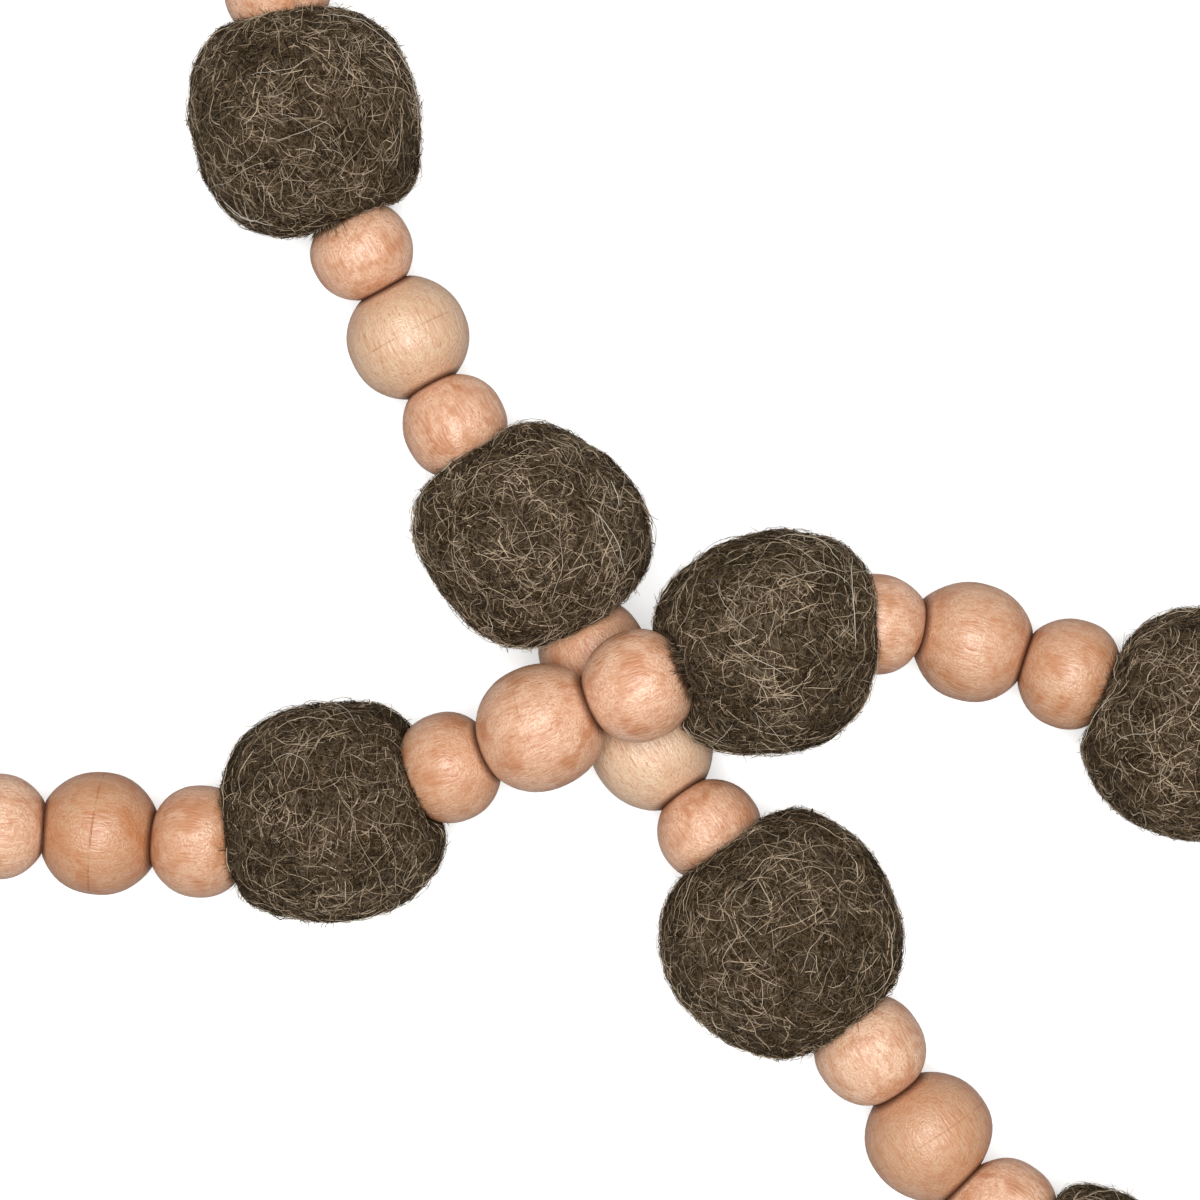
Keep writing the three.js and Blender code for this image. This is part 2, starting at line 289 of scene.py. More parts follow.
class GarlandWood(bpy.types.PropertyGroup):
    """The wooden beads' colours"""

    small: colour_property("Small bead", "Wood of the small beads", (244, 198, 166))
    large: colour_property("Large bead", "Wood of the large beads", (237, 191, 159))
    paler: colour_property("Paler bead", "Wood of the palest beads", (240, 211, 179))
    darker: colour_property("Darker bead", "Wood of the darkest beads", (210, 163, 127))
    # The end grain colour is partly real end grain round the holes and partly painted shade where the bead
    # ends meet their neighbours and the felt.
    grain: colour_property("Grain", "Streaks of late wood and pores", (188, 114, 64))
    end: colour_property("End grain", "Wood round the holes", (112, 64, 38))


class GarlandString(bpy.types.PropertyGroup):
    """The string's colour and twist"""

    cotton: colour_property("Cotton", "Colour of the string", (112, 88, 64))
    # The groove colour is painted shade down between the plies.
    groove: colour_property("Groove", "Colour between the plies", (74, 56, 40))
    lay: length_property("Lay", "Length of one turn of the plies", 4.2 * MM)
    plies: count_property("Plies", "Yarns in the string", 3, least=2)


class GarlandStage(bpy.types.PropertyGroup):
    """The floor, the light and the camera"""

    floor: colour_property("Floor", "Colour of the floor in the view", (252, 252, 251))
    ground: colour_property("Ground", "Colour that the floor casts back on the garland", (170, 170, 172))
    floor_width: length_property("Floor width", "Side of the floor", 4.0)
    view_width: length_property("View width", "Width of the view at bead height", 154.84 * MM)
    camera_height: length_property("Camera height", "Camera above the floor", 650 * MM)
    light_height: length_property("Light height", "Soft light above the floor", 1100 * MM)
    light_width: length_property("Light width", "Side of the soft light", 600 * MM)
    light_power: amount_property("Light power", "Power of the soft light", 12.6, unit="POWER")
    fill: amount_property("Fill", "Strength of the even light from all round", 0.28)


def settings(group):
    """A property group of this garland, such as felt or wood."""
    return getattr(bpy.context.scene, "garland_" + group)


# Meshes and pieces


def unit(vectors):
    """Vectors of length one, along the last axis."""
    return vectors / np.linalg.norm(vectors, axis=-1, keepdims=True)


def node_points(name):
    """The distinct corner points of a solid of the frame, in metres."""
    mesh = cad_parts[name].data
    points = np.empty(3 * len(mesh.vertices), np.float32)
    mesh.vertices.foreach_get("co", points)
    return np.unique(points.reshape(-1, 3).astype(float).round(6), axis=0)


def new_piece(name, points, faces, material, attributes=None):
    """A smooth mesh object with its points in the frame, and values of its own at each point."""
    mesh = bpy.data.meshes.new(name)
    mesh.from_pydata(points, [], faces)
    mesh.validate()
    mesh.shade_smooth()
    for label, values in (attributes or {}).items():
        kind, field = ("FLOAT_VECTOR", "vector") if np.ndim(values) > 1 else ("FLOAT", "value")
        layer = mesh.attributes.new(label, kind, "POINT")
        layer.data.foreach_set(field, np.asarray(values, np.float32).ravel())
    mesh.materials.append(material)
    piece = bpy.data.objects.new(name, mesh)
    bpy.context.scene.collection.objects.link(piece)
    return piece


def fit_piece(piece, node):
    """Sets a piece on the frame in place of a solid."""
    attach(piece, BODY)
    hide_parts(node)


def ring_faces(rings, sides, closed=False):
    """The quads between rows of points that each go once round."""
    faces = []
    for row in range(rings if closed else rings - 1):
        following = (row + 1) % rings
        for i in range(sides):
            j = (i + 1) % sides
            faces.append((row * sides + i, row * sides + j, following * sides + j, following * sides + i))
    return faces


def tube_faces(rings, sides):
    """The faces of a tube with both ends closed."""
    first = tuple(reversed(range(sides)))
    last = tuple(range((rings - 1) * sides, rings * sides))
    return [first, *ring_faces(rings, sides), last]


# Beads and balls as the frame gives them


class Bead:
    """A drilled bead's place and size."""

    def __init__(self, name):
        points = node_points(name)
        self.name = name
        self.middle = points.mean(axis=0)
        spread = points - self.middle
        self.axis = np.linalg.eigh(np.cov(spread.T))[1][:, 2]
        along = spread @ self.axis
        across = np.linalg.norm(spread - np.outer(along, self.axis), axis=1)
        self.half_length = np.abs(along).max()
        self.radius = across.max()
        self.bore = across.min()
        self.land = across[np.abs(along) > BEAD_END_SHARE * self.half_length].max()
        share = (self.land / self.radius) ** BEAD_FULLNESS
        self.reach = self.half_length / (1 - share) ** (1 / BEAD_FULLNESS)
        self.meetings = {}

    def face(self, onward):
        """Turns the bead's axis the way that the string runs."""
        if onward @ self.axis < 0:
            self.axis = -self.axis

    def mouth(self, side):
        """The middle of the hole at the end that the axis leaves (+1) or enters (-1)."""
        return self.middle + side * self.half_length * self.axis

    def meet(self, following):
        """Notes the plane where this bead's end and the next bead's end rest on each other."""
        place = (self.mouth(1) + following.mouth(-1)) / 2
        facing = unit(self.axis + following.axis)
        self.meetings[1] = following.meetings[-1] = (place, facing)

    def settled(self, along, off_axis):
        """Places along the axis, with the ends eased to lie flat on the neighbours' ends."""
        eased = along.copy()
        for side, (place, facing) in self.meetings.items():
            to_plane = side * ((place - self.middle - off_axis) @ facing) / (self.axis @ facing)
            room = to_plane - JOINT_GAP / 2 - self.half_length
            eased += side * room * np.clip(side * along / self.half_length, 0, 1) ** END_EASE
        return eased

    def girth(self, along, clearance):
        """The bead's radius at places along its axis, when it is grown by the clearance."""
        share = np.clip(np.abs(along) / (self.reach + clearance), 0, 1) ** BEAD_FULLNESS
        return (self.radius + clearance) * (1 - share) ** (1 / BEAD_FULLNESS)

    def surface(self, along, turns, clearance):
        """Points over the bead at places along its axis and turns about it."""
        across = unit(np.cross(self.axis, (0, 0, 1)))
        upward = np.cross(across, self.axis)
        outward = np.cos(turns)[..., None] * across + np.sin(turns)[..., None] * upward
        return self.middle + along[..., None] * self.axis + self.girth(along, clearance)[..., None] * outward

    def fullness(self, points, clearance):
        """Below one for points inside the bead when it is grown by the clearance."""
        spread = points - self.middle
        along = spread @ self.axis
        across = np.linalg.norm(spread - along[..., None] * self.axis, axis=-1)
        lengths = np.abs(along) / (self.reach + clearance)
        widths = across / (self.radius + clearance)
        inside = lengths**BEAD_FULLNESS + widths**BEAD_FULLNESS
        beyond = np.abs(along) > self.half_length + clearance
        return np.where(beyond, np.maximum(inside, 1), inside)


class Ball:
    """A felt ball's place, and its finished surface as reaches along even directions."""

    def __init__(self, name, beads, seed):
        points = node_points(name)
        self.name = name
        self.middle = (points.min(axis=0) + points.max(axis=0)) / 2
        self.beads = [bead for bead in beads if np.linalg.norm(bead.middle - self.middle) < 2 * CAST_FROM]
        self.rng = np.random.default_rng(seed)
        self.directions, self.faces, self.edges, self.tree = even_directions()
        self.reaches = self.cast()
        self.reaches = self.matted(self.smoothed(self.dented()))

    def cast(self):
        """How far the solid reaches along each direction, past the needle hole."""
        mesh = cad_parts[self.name].data
        corners = [vertex.co for vertex in mesh.vertices]
        solid = BVHTree.FromPolygons(corners, [face.vertices for face in mesh.polygons])
        reaches = np.full(len(self.directions), np.nan)
        for index, direction in enumerate(self.directions):
            start = self.middle + CAST_FROM * direction
            hit = solid.ray_cast(Vector(start), Vector(-direction), CAST_FROM)
            if hit[0] is not None:
                reaches[index] = CAST_FROM - hit[3]
        usual = np.nanmedian(reaches)
        return np.where(np.isnan(reaches) | (reaches < NEEDLE_HOLE_SHARE * usual), usual, reaches)

    def smoothed(self, reaches):
        """The reaches with the solid's flat facets rounded off."""
        counts = np.bincount(self.edges.ravel(), minlength=len(reaches))
        for _ in range(SMOOTH_ROUNDS):
            sums = np.bincount(self.edges[:, 0], reaches[self.edges[:, 1]], len(reaches))
            sums += np.bincount(self.edges[:, 1], reaches[self.edges[:, 0]], len(reaches))
            reaches = (reaches + sums / counts) / 2
        return reaches

    def dented(self):
        """The reaches with the felt pushed back or drawn up round the beads that press into it."""
        reaches = self.reaches
        for bead, end in self.pressing_beads():
            onward = -end * bead.axis
            spread = self.points(reaches) - bead.mouth(end)
            past_end = spread @ onward
            off_axis = spread - past_end[:, None] * onward
            across = np.linalg.norm(off_axis, axis=1)
            off_axis[:, 2] *= np.where(off_axis[:, 2] > 0, DENT_RISE, 1)
            nearness = np.linalg.norm(off_axis, axis=1) / DENT_WIDTH
            push = BEAD_DENTS.get(bead.name, 0.0) * np.exp(-(nearness**DENT_EDGE))
            room = np.where(across < bead.land + DENT_MARGIN, np.clip(past_end, 0, None), np.inf)
            facing = self.directions @ onward > 0
            reaches = reaches - facing * np.minimum(push, room)
        return reaches

    def matted(self, reaches):
        """The reaches with matted lumps, clear of the beads and the floor."""
        offset = self.rng.uniform(-1, 1, 3)
        reaches = reaches - FIBRE_DEPTH
        for size, rise in MATTING:
            places = self.directions * reaches[:, None] / size + MATTING_SHIFT * offset
            reaches = reaches + rise * np.array([noise.noise(place) for place in places])
        for _ in range(PRESS_ROUNDS):
            held = self.held(self.points(reaches))
            if not held.any():
                break
            reaches = np.where(held, reaches - PRESS_STEP, reaches)
        return reaches

    def held(self, points):
        """True for points that a bead or the floor pushes in."""
        held = points[..., 2] < FLOOR_CLEARANCE
        for bead in self.beads:
            held |= bead.fullness(points, FELT_CLEARANCE) < 1
        return held

    def reach(self, directions):
        """How far the felt reaches along any directions."""
        nearest = [self.tree.find(direction)[1] for direction in directions.reshape(-1, 3)]
        return self.reaches[nearest].reshape(directions.shape[:-1])

    def pressing_beads(self):
        """The beads that press into the ball, each with the end of it that does."""
        for bead in self.beads:
            end = math.copysign(1, (self.middle - bead.middle) @ bead.axis)
            away = bead.mouth(end) - self.middle
            if np.linalg.norm(away) < self.reach(unit(away)[None])[0] + PRESS_GAP:
                yield bead, end

    def points(self, reaches):
        """The points at reaches along the directions."""
        return self.middle + self.directions * reaches[:, None]


@functools.cache
def even_directions():
    """Directions spread evenly over a sphere, their faces and edges, and a tree that finds the nearest."""
    bpy.ops.mesh.primitive_ico_sphere_add(subdivisions=CORE_DETAIL, radius=1)
    sphere = bpy.context.object
    mesh = sphere.data
    directions = unit(np.array([vertex.co for vertex in mesh.vertices]))
    faces = [tuple(face.vertices) for face in mesh.polygons]
    edges = np.array([tuple(edge.vertices) for edge in mesh.edges])
    bpy.data.objects.remove(sphere)
    bpy.data.meshes.remove(mesh)
    tree = KDTree(len(directions))
    for index, direction in enumerate(directions):
        tree.insert(direction, index)
    tree.balance()
    return directions, faces, edges, tree


def strand_beads():
    """The beads in the order in which the string meets them, each facing the next."""
    beads = []
    for names in zip(SMALL_NODES[0::2], LARGE_NODES, SMALL_NODES[1::2]):
        trio = [Bead(name) for name in names]
        onward = trio[2].middle - trio[0].middle
        for bead in trio:
            bead.face(onward)
        trio[0].meet(trio[1])
        trio[1].meet(trio[2])
        beads += trio
    return beads


# Felt fibres


def wandering_paths(ball, kind, lengths):
    """Directions along fibres that wander over a ball in locks, one row for each fibre."""
    count = len(lengths)
    rng = ball.rng
    locks = math.ceil(count / kind.lock)
    root = np.repeat(unit(rng.normal(size=(locks, 3))), kind.lock, axis=0)[:count]
    aim = np.repeat(rng.normal(size=(locks, 3)), kind.lock, axis=0)[:count]
    direction = unit(root + rng.normal(0, LOCK_SPREAD, (count, 3)))
    heading = unit(np.cross(direction, aim + rng.normal(0, LOCK_TURN, (count, 3))))
    angle = (lengths / kind.steps / np.median(ball.reaches))[:, None]
    bend = rng.normal(0, kind.curl, (count, 1))
    rows = [direction]
    for _ in range(kind.steps):
        onward = direction * np.cos(angle) + heading * np.sin(angle)
        heading = heading * np.cos(angle) - direction * np.sin(angle)
        direction = onward
        turn = bend + rng.normal(0, kind.waver, (count, 1))
        heading = unit(heading * np.cos(turn) + np.cross(direction, heading) * np.sin(turn))
        rows.append(direction)
    return np.stack(rows, axis=1)


def laid_fibres(ball, directions, heights):
    """Points along fibres that lie at given heights over a ball, clear of the beads."""
    reaches = ball.reach(directions) + heights
    points = ball.middle + directions * reaches[..., None]
    points[..., 2] = np.maximum(points[..., 2], FLOOR_CLEARANCE)
    clear = np.ones(len(points), bool)
    for bead in ball.beads:
        clear &= (bead.fullness(points, FELT_CLEARANCE) > 1).all(axis=1)
    return points[clear], directions[clear], clear


def fibre_taper(steps):
    """How thick a fibre is at each step, finer at both ends."""
    turns = np.linspace(TAPER_START, 1, steps) * TAPER_END * math.pi
    return np.sin(turns)[None, :, None] ** TAPER_POWER


def fibre_tubes(points, outward, radii):
    """Closed thin tubes along rows of points: the points of each, and the faces of one."""
    steps = points.shape[1]
    onward = unit(np.gradient(points, axis=1))
    side = unit(np.cross(onward, outward))
    rise = np.cross(side, onward)
    thickness = radii[:, None, None] * fibre_taper(steps)
    rings = []
    for turn in np.linspace(0, 2 * math.pi, FIBRE_SIDES, endpoint=False):
        rings.append(points + thickness * (math.cos(turn) * rise + math.sin(turn) * side))
    return np.stack(rings, axis=2), tube_faces(steps, FIBRE_SIDES)


def fibre_strips(points, outward, radii):
    """Flat strips along rows of points: the points of each, and the faces of one."""
    steps = points.shape[1]
    side = unit(np.cross(np.gradient(points, axis=1), outward))
    reach = radii[:, None, None] * fibre_taper(steps) * side
    faces = [(row, row + 1, row + 3, row + 2) for row in range(0, 2 * (steps - 1), 2)]
    return np.stack([points - reach, points + reach], axis=2), faces


def drawn(rng, spread, size):
    """Values drawn from a random spread."""
    kind, first, second = spread
    return kind(rng, first, second, size)


def grown_fibres(ball, kind, count, usual_length):
    """Fibres of one kind over a ball: their directions and heights, and each one's radius and tone."""
    rng = ball.rng
    directions = wandering_paths(ball, kind, usual_length * rng.uniform(*kind.lengths, count))
    along = np.linspace(0, 1, kind.steps + 1)
    rise = np.minimum(drawn(rng, kind.rise, (count, 1)), kind.most_rise)
    heights = rise * (np.sin(math.pi * along) if kind.arched else along) + kind.lift
    tones = drawn(rng, kind.tones, count)
    if kind.patches:
        offset = rng.uniform(-PATCH_SHIFT, PATCH_SHIFT, 3)
    for closeness, contrast in kind.patches:
        places = closeness * directions[:, 0] + offset
        tones += contrast * np.array([noise.noise(place) for place in places])
    return directions, heights, rng.uniform(*kind.radii, count), np.clip(tones, 0, kind.most_tone)


def collar_fibres(ball, kind, count, usual_length):
    """Short fibres that lie over the edges of the beads that press into the ball."""
    rng = ball.rng
    along = np.linspace(0, 1, kind.steps + 1)
    rows = []
    for bead, end in ball.pressing_beads():
        turns = rng.uniform(0, 2 * math.pi, (count, 1))
        places = np.linspace(0, bead.half_length, EDGE_PLACES)
        away = bead.surface(*np.broadcast_arrays(end * places, turns), 0) - ball.middle
        met = np.linalg.norm(away, axis=-1) < ball.reach(unit(away)) + EDGE_GAP
        edges = np.where(met.any(axis=1), places[met.argmax(axis=1)], bead.half_length)[:, None]
        lengths = rng.gamma(COLLAR_EVENNESS, usual_length / COLLAR_EVENNESS, (count, 1))
        track = np.clip(edges + COLLAR_ROOT - (COLLAR_ROOT + lengths) * along, 0, bead.half_length)
        slant = turns + rng.normal(0, COLLAR_SLANT, (count, 1)) * along
        lift = FELT_CLEARANCE + kind.lift + drawn(rng, kind.rise, (count, 1)) * along**2
        rows.append(bead.surface(end * track, slant, lift) - ball.middle)
    away = np.concatenate(rows)
    directions = unit(away)
    heights = np.linalg.norm(away, axis=-1) - ball.reach(directions)
    heights[:, 0] = 0
    tones = drawn(rng, kind.tones, len(away))
    return directions, heights, rng.uniform(*kind.radii, len(away)), tones


def fibre_mesh(ball, felt):
    """All the fibres of a ball as points, faces and a tone at each point."""
    corners, faces, tones = [], [], []
    start = 0
    kinds = (
        # how the fibres grow, their kind, their number, their usual length, how they are built
        (grown_fibres, MATTED, felt.matted_fibres, felt.fibre_length, fibre_strips),
        (grown_fibres, LOOSE, felt.loose_fibres, felt.loose_length, fibre_strips),
        (grown_fibres, FUZZ, felt.fuzz_fibres, felt.fuzz_length, fibre_strips),
        (collar_fibres, COLLAR, felt.collar_fibres, felt.collar_length, fibre_strips),
        (grown_fibres, HAIR, felt.hairs, felt.hair_length, fibre_tubes),
    )
    for grow, kind, count, usual_length, build in kinds:
        directions, heights, radii, shades = grow(ball, kind, count, usual_length)
        shades = shades + BALL_TONES.get(ball.name, 0.0)
        points, outward, clear = laid_fibres(ball, directions, heights)
        leaning = outward + ball.rng.normal(0, kind.lean, (len(points), 1, 3))
        made, pattern = build(points, leaning, felt.fibre_radius * radii[clear])
        made = made.reshape(len(points), -1, 3)
        for fibre in made:
            faces += [tuple(start + i for i in face) for face in pattern]
            start += len(fibre)
        corners += list(made)
        tones.append(np.repeat(shades[clear], made.shape[1]))
    return np.concatenate(corners), faces, np.concatenate(tones)


# Wooden beads


def bead_outline(bead):
    """A bead's outline as (along, across): over the belly, then in at both ends to the hole."""
    spaced = np.sin(0.5 * math.pi * np.linspace(-1, 1, BEAD_STEPS + 1))
    along = spaced * (bead.half_length - LAND_ROUND)
    belly = list(zip(along, bead.girth(along, 0)))
    far_end = [(bead.half_length, bead.land - LAND_ROUND)]
    for turn in np.linspace(0, math.pi / 2, LIP_STEPS + 1):
        sunk = HOLE_LIP * (1 - math.cos(turn))
        far_end.append((bead.half_length - sunk, bead.bore + HOLE_LIP * (1 - math.sin(turn))))
    near_end = [(-x, r) for x, r in reversed(far_end)]
    return np.array(belly + far_end + near_end)


def bead_mesh(bead, seed):
    """A turned bead as points, faces and the values that its wood reads."""
    rng = np.random.default_rng(seed)
    outline = bead_outline(bead)
    side = unit(np.cross(bead.axis, rng.normal(size=3)))
    other = np.cross(bead.axis, side)
    turns = np.linspace(0, 2 * math.pi, BEAD_SIDES, endpoint=False)
    around = np.cos(turns)[:, None] * side + np.sin(turns)[:, None] * other
    along = np.repeat(outline[:, 0], BEAD_SIDES)
    across = np.repeat(outline[:, 1], BEAD_SIDES)
    outward = np.tile(around, (len(outline), 1))
    off_axis = across[:, None] * outward
    points = bead.middle + bead.settled(along, off_axis)[:, None] * bead.axis + off_axis
    shift = rng.uniform(-GRAIN_SHIFT, GRAIN_SHIFT, 3)
    wobble = np.array([noise.noise(place) for place in points / WOBBLE_SIZE + shift])
    outer = across > HOLE_SHARE * bead.bore
    points += (outer * BEAD_WOBBLE * (wobble - WOBBLE_MIDDLE))[:, None] * outward
    turn = np.tile(turns, len(outline))
    place = np.column_stack([along, across * np.cos(turn), across * np.sin(turn)]) / MM + shift
    values = {
        "grain_place": place,
        "hole_nearness": np.abs(along) / bead.half_length,
        "from_middle": (along + SEAM_TILT * across * np.cos(turn)) / MM,
        "seamed": np.full(len(along), BEAD_SEAMS.get(bead.name, 0.0)),
        "darkness": np.full(len(along), BEAD_DARKNESS.get(bead.name, rng.uniform(*USUAL_DARKNESS))),
        "paleness": np.full(len(along), BEAD_PALENESS.get(bead.name, rng.uniform(*USUAL_PALENESS))),
    }
    faces = ring_faces(len(outline), BEAD_SIDES, closed=True)
    return points, faces, values


# String


def string_tip(ball):
    """Where the string ends, past the ball at one end of the strand."""
    points = node_points(STRING_NODE)
    others = np.array([ball_middle(name) for name in BALL_NODES if name != ball.name])
    nearest = np.min(np.linalg.norm(points[:, None] - others, axis=2), axis=1)
    own = np.linalg.norm(points - ball.middle, axis=1)
    tail = points[own < nearest]
    far = np.linalg.norm(tail - ball.middle, axis=1)
    return tail[far > far.max() - TIP_LENGTH].mean(axis=0)


def ball_middle(name):
    """The middle of a ball's solid."""
    low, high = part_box(name)
    return np.array((low + high) / 2)


def smooth_route(points, step):
    """Evenly spaced points on a smooth curve through the given ones."""
    points = np.asarray(points)
    padded = np.vstack([2 * points[0] - points[1], points, 2 * points[-1] - points[-2]])
    dense = []
    for before, start, end, after in zip(padded, padded[1:], padded[2:], padded[3:]):
        slope = end - before
        bend = 2 * before - 5 * start + 4 * end - after
        sway = 3 * start - before - 3 * end + after
        for t in np.linspace(0, 1, CURVE_STEPS, endpoint=False):
            dense.append(start + (slope * t + bend * t**2 + sway * t**3) / 2)
    dense = np.array([*dense, points[-1]])
    lengths = np.concatenate([[0], np.cumsum(np.linalg.norm(np.diff(dense, axis=0), axis=1))])
    places = np.linspace(0, lengths[-1], max(2, round(lengths[-1] / step)))
    return np.column_stack([np.interp(places, lengths, dense[:, i]) for i in range(3)])


def overhand_knot(middle, outward):
    """Points along a plain overhand knot, tied in a string that leaves along outward."""
    across = unit(np.cross(outward, (0, 0, 1)))
    upward = np.cross(across, outward)
    points = []
    for t in np.linspace(-KNOT_REACH, KNOT_REACH, KNOT_POINTS):
        along = KNOT_ACROSS * (t**3 - 3 * t)
        aside = KNOT_ACROSS * (t**4 - 4 * t**2 + 2) * (1 - (t / KNOT_REACH) ** KNOT_ACROSS_EASE)
        depth = KNOT_DEPTH * (t**5 - 10 * t) * (1 - (t / KNOT_REACH) ** KNOT_DEPTH_EASE)
        points.append(middle + along * outward + aside * across + depth * upward)
    return points


def tail_points(ball, bead_mouth):
    """The string's way from the last bead through a ball to its knot and its tip."""
    tip = string_tip(ball)
    outward = unit(tip - ball.middle)
    surface = ball.middle + outward * ball.reach(outward[None])[0]
    knot = overhand_knot(surface + outward * KNOT_FROM_BALL, outward)
    aside = TAIL_BEND * unit(np.cross(outward, (0, 0, 1)))
    droop = np.array((0, 0, TAIL_DROOP))
    bend = (knot[-1] + tip) / 2 + aside - BEND_DROOP * droop
    return [bead_mouth, ball.middle, surface - outward * MM, *knot, bend, tip - droop]


def string_points(beads, first_ball, last_ball):
    """Points along the whole string, from tip to tip."""
    points = tail_points(first_ball, beads[0].mouth(-1))[::-1]
    for bead in beads:
        points += [bead.middle, bead.mouth(1)]
    return points[:-1] + tail_points(last_ball, beads[-1].mouth(1))


def twisted_cord(route, twist):
    """A cord of twisted plies along a route, as points, faces and each point's depth in a groove."""
    onward = unit(np.gradient(route, axis=0))
    side = unit(np.cross(onward[0], (0, 0, 1)))
    points, depths = [], []
    steps = np.linalg.norm(np.diff(route, axis=0, prepend=route[:1]), axis=1)
    for place, ahead, travelled in zip(route, onward, np.cumsum(steps)):
        side = unit(side - (side @ ahead) * ahead)
        other = np.cross(ahead, side)
        for turn in np.linspace(0, 2 * math.pi, CORD_SIDES, endpoint=False):
            groove = 0.5 - 0.5 * math.cos(twist.plies * (turn - 2 * math.pi * travelled / twist.lay))
            radius = CORD_RADIUS * (1 - PLY_DEPTH * groove)
            points.append(place + radius * (math.cos(turn) * side + math.sin(turn) * other))
            depths.append(groove)
    return np.array(points), tube_faces(len(route), CORD_SIDES), np.array(depths)


# Materials


class Tree:
    """Adds shader nodes to a material or group, joins them, and sets their values."""

    def __init__(self, tree):
        self.tree = tree
        tree.nodes.clear()

    def set(self, socket, value):
        """Joins a socket to another, or gives it a value."""
        if isinstance(value, bpy.types.NodeSocket):
            self.tree.links.new(value, socket)
        else:
            socket.default_value = (*value, 1) if socket.type == "RGBA" else value

    def add(self, kind, values=None, **options):
        """A node of a kind, with its options and socket values set."""
        node = self.tree.nodes.new(kind)
        for option, value in options.items():
            setattr(node, option, value)
        for socket, value in (values or {}).items():
            self.set(node.inputs[socket], value)
        return node

    def math(self, operation, *values):
        """The result of a sum on values or sockets."""
        node = self.add("ShaderNodeMath", operation=operation)
        for socket, value in zip(node.inputs, values):
            self.set(socket, value)
        return node.outputs[0]

    def mix(self, share, first, second):
        """A colour between two colours."""
        return self.between("RGBA", (0, 6, 7), (share, first, second)).outputs[2]

    def blend(self, share, first, second):
        """A value between two values."""
        return self.between("FLOAT", (0, 2, 3), (share, first, second)).outputs[0]

    def between(self, data_type, sockets, values):
        """A node that mixes two colours or values."""
        node = self.add("ShaderNodeMix", data_type=data_type)
        for socket, value in zip(sockets, values):
            self.set(node.inputs[socket], value)
        return node

    def fade(self, value, start, end, low=0, high=1):
        """A value spread smoothly from one range to another."""
        spread = {"Value": value, "From Min": start, "From Max": end, "To Min": low, "To Max": high}
        return self.add("ShaderNodeMapRange", spread, interpolation_type="SMOOTHSTEP").outputs[0]

    def attribute(self, name, output="Fac"):
        """A value that a piece's mesh carries."""
        return self.add("ShaderNodeAttribute", attribute_name=name).outputs[output]

    def stretch(self, vector, scale, turn=(0, 0, 0)):
        """Coordinates that are turned and scaled along each axis."""
        values = {"Vector": vector, "Scale": scale, "Rotation": turn}
        return self.add("ShaderNodeMapping", values).outputs["Vector"]

    def noise(self, vector, scale, detail=2.0, distortion=0.0):
        """Soft noise at a number of lumps to a millimetre."""
        values = {"Vector": vector, "Scale": scale, "Detail": detail, "Distortion": distortion}
        return self.add("ShaderNodeTexNoise", values).outputs["Fac"]

    def bump(self, height, distance):
        """A normal from heights."""
        return self.add("ShaderNodeBump", {"Height": height, "Distance": distance}).outputs["Normal"]


def new_material(name):
    """A material with an empty tree."""
    material = bpy.data.materials.new(name)
    material.use_nodes = True
    return material, Tree(material.node_tree)


def finish_material(tree, colour, roughness, specular, **others):
    """Ends a material in one surface shader."""
    values = {"Base Color": colour, "Roughness": roughness, "Specular IOR Level": specular}
    for name, value in others.items():
        values[name.replace("_", " ").title()] = value
    surface = tree.add("ShaderNodeBsdfPrincipled", values)
    output = tree.add("ShaderNodeOutputMaterial")
    tree.set(output.inputs["Surface"], surface.outputs["BSDF"])


def new_group(name, inputs, outputs):
    """An empty shader group with named inputs and outputs of values, its tree and its two ends."""
    group = bpy.data.node_groups.new(name, "ShaderNodeTree")
    for label, kind in inputs.items():
        group.interface.new_socket(label, in_out="INPUT", socket_type=kind)
    for label in outputs:
        group.interface.new_socket(label, in_out="OUTPUT", socket_type="NodeSocketFloat")
    tree = Tree(group)
    return group, tree, tree.add("NodeGroupInput").outputs, tree.add("NodeGroupOutput").inputs


def tangle_group():
    """Curling lines like fibres in felt or yarn, from coordinates in millimetres."""
    name = "Fibre tangle"
    if name in bpy.data.node_groups:
        return bpy.data.node_groups[name]
    inputs = {"Place": "NodeSocketVector", "Fineness": "NodeSocketFloat", "Width": "NodeSocketFloat"}
    group, tree, given, result = new_group(name, inputs, ("Lines",))
    layers = (
        # stretch of the coordinates, turn
        ((2.2, 0.5, 1.0), (0.3, 0.9, 0.2)),
        ((0.5, 2.2, 1.1), (1.1, 0.2, 1.4)),
        ((1.0, 0.6, 2.2), (2.0, 1.2, 0.6)),
    )
    lines = None
    for scale, turn in layers:
        curl = tree.noise(tree.stretch(given["Place"], scale, turn), given["Fineness"], 1.5, 1.2)
        off_line = tree.math("ABSOLUTE", tree.math("SUBTRACT", curl, 0.5))
        line = tree.math("SUBTRACT", 1.0, tree.fade(off_line, 0.0, given["Width"]))
        lines = line if lines is None else tree.math("MAXIMUM", lines, line)
    tree.set(result["Lines"], lines)
    return group


